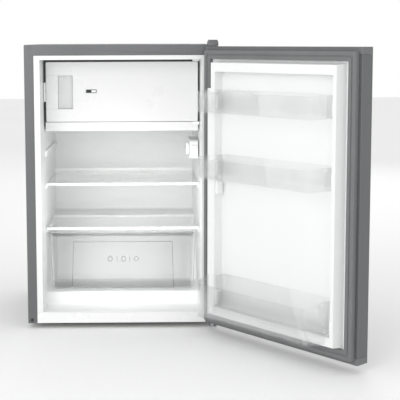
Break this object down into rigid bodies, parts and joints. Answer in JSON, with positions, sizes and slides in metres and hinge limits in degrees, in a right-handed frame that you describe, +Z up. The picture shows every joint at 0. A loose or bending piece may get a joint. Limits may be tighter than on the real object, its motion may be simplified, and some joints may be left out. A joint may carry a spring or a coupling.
{
  "type": "mini fridge",
  "caption": "Table-top refrigerator with a side-hung icebox flap, glass shelf, covered crisper drawer and clear door bins, door open.",
  "frame": {"origin": "on the floor, middle of the ground covered with the door open at 130 degrees", "axes": "+Z up, +Y towards the back of the cabinet, +X towards the hinge side"},
  "size_m": [0.914, 0.9788, 0.8495],
  "materials": {
    "grey_steel": "satin",
    "cap_grey": "satin",
    "liner_white": "satin",
    "white_plastic": "satin",
    "dark_plastic": "matte",
    "gasket_grey": "matte",
    "clear_plastic": "gloss",
    "clear_glass": "gloss",
    "foam": "matte",
    "zinc_steel": "satin",
    "aluminium": "satin",
    "black_paint": "satin",
    "black_rubber": "matte",
    "copper": "satin"
  },
  "bodies": {
    "cabinet": {"outer_case": "grey_steel", "top_left_plug": "cap_grey", "bottom_left_plug": "cap_grey", "base_plinth": "white_plastic", "base_sheet": "zinc_steel", "insulation_foam": "foam", "inner_liner": "liner_white", "back_panel": "zinc_steel", "compressor_rail": "zinc_steel", "compressor": "black_paint", "terminal_cover": "dark_plastic", "drip_tray": "dark_plastic", "condenser_coil": "black_paint", "filter_drier": "copper", "suction_pipe": "copper", "discharge_pipe": "copper", "cord_inlet": "black_rubber", "rear_foot_left": "black_rubber", "rear_foot_right": "black_rubber", "icebox_frame": "dark_plastic", "evaporator_box": "aluminium", "icebox_tray": "white_plastic", "flap_latch_catch": "white_plastic", "flap_arm_lower": "white_plastic", "flap_arm_upper": "white_plastic", "thermostat_housing": "white_plastic", "lamp_lens": "clear_plastic", "thermostat_unit": "dark_plastic", "lamp_socket": "white_plastic", "lamp_bulb": "clear_glass", "top_hinge_bracket": "zinc_steel", "bottom_hinge_bracket": "zinc_steel", "top_hinge_cover": "cap_grey", "hinge_screw_1": "zinc_steel", "hinge_screw_2": "zinc_steel"},
    "door": {"door_skin": "grey_steel", "door_top_cap": "cap_grey", "door_bottom_cap": "cap_grey", "door_foam": "foam", "door_liner": "liner_white", "door_gasket": "gasket_grey", "upper_hinge_bush": "white_plastic", "lower_hinge_bush": "white_plastic"},
    "icebox_flap": {"icebox_flap_shell": "white_plastic", "icebox_flap_back": "white_plastic", "flap_badge": "dark_plastic"},
    "shelf": {"shelf_glass": "clear_glass", "shelf_front_strip": "white_plastic", "shelf_rear_strip": "white_plastic"},
    "crisper_cover": {"crisper_cover_glass": "clear_glass", "crisper_cover_front_strip": "white_plastic", "crisper_cover_rear_strip": "white_plastic"},
    "crisper": {"crisper_drawer": "clear_plastic"},
    "top_bin": {"top_bin": "clear_plastic"},
    "middle_bin": {"middle_bin": "clear_plastic"},
    "bottom_bin": {"bottom_bin": "clear_plastic"},
    "thermostat_knob": {"thermostat_knob": "white_plastic"},
    "light_switch": {"light_switch_button": "white_plastic"},
    "left_foot": {"front_foot_left": "black_rubber"},
    "right_foot": {"front_foot_right": "black_rubber"}
  },
  "joints": [
    {"name": "door_hinge", "type": "hinge", "parent": "cabinet", "child": "door", "pos_m": [0.08761, -0.06049, 0.015], "axis": [0, 0, 1], "range_deg": [-130, 5]},
    {"name": "flap_hinge", "type": "hinge", "parent": "cabinet", "child": "icebox_flap", "pos_m": [0.04451, 0.06851, 0.607], "axis": [0, 0, 1], "range_deg": [0, 80]},
    {"name": "shelf_slide", "type": "slide", "parent": "cabinet", "child": "shelf", "axis": [0, -1, 0], "range_m": [0, 0.25]},
    {"name": "cover_slide", "type": "slide", "parent": "cabinet", "child": "crisper_cover", "axis": [0, -1, 0], "range_m": [0, 0.16]},
    {"name": "crisper_slide", "type": "slide", "parent": "cabinet", "child": "crisper", "axis": [0, -1, 0], "range_m": [0, 0.16]},
    {"name": "top_bin_lift", "type": "slide", "parent": "door", "child": "top_bin", "axis": [0, 0, 1], "range_m": [0, 0.022]},
    {"name": "middle_bin_lift", "type": "slide", "parent": "door", "child": "middle_bin", "axis": [0, 0, 1], "range_m": [0, 0.022]},
    {"name": "bottom_bin_lift", "type": "slide", "parent": "door", "child": "bottom_bin", "axis": [0, 0, 1], "range_m": [0, 0.022]},
    {"name": "thermostat_turn", "type": "hinge", "parent": "cabinet", "child": "thermostat_knob", "pos_m": [0.02301, 0.11751, 0.5187], "axis": [-1, 0, 0], "range_deg": [0, 280]},
    {"name": "light_switch_press", "type": "slide", "parent": "cabinet", "child": "light_switch", "axis": [0, -1, 0], "range_m": [-0.005, 0], "stiffness_N_per_m": 120, "springref_m": 0.003},
    {"name": "left_foot_turn", "type": "hinge", "parent": "cabinet", "child": "left_foot", "pos_m": [-0.41099, 0.05151, 0], "axis": [0, 0, 1], "range_deg": [0, 360]},
    {"name": "right_foot_turn", "type": "hinge", "parent": "cabinet", "child": "right_foot", "pos_m": [0.05701, 0.05151, 0], "axis": [0, 0, 1], "range_deg": [0, 360]}
  ]
}
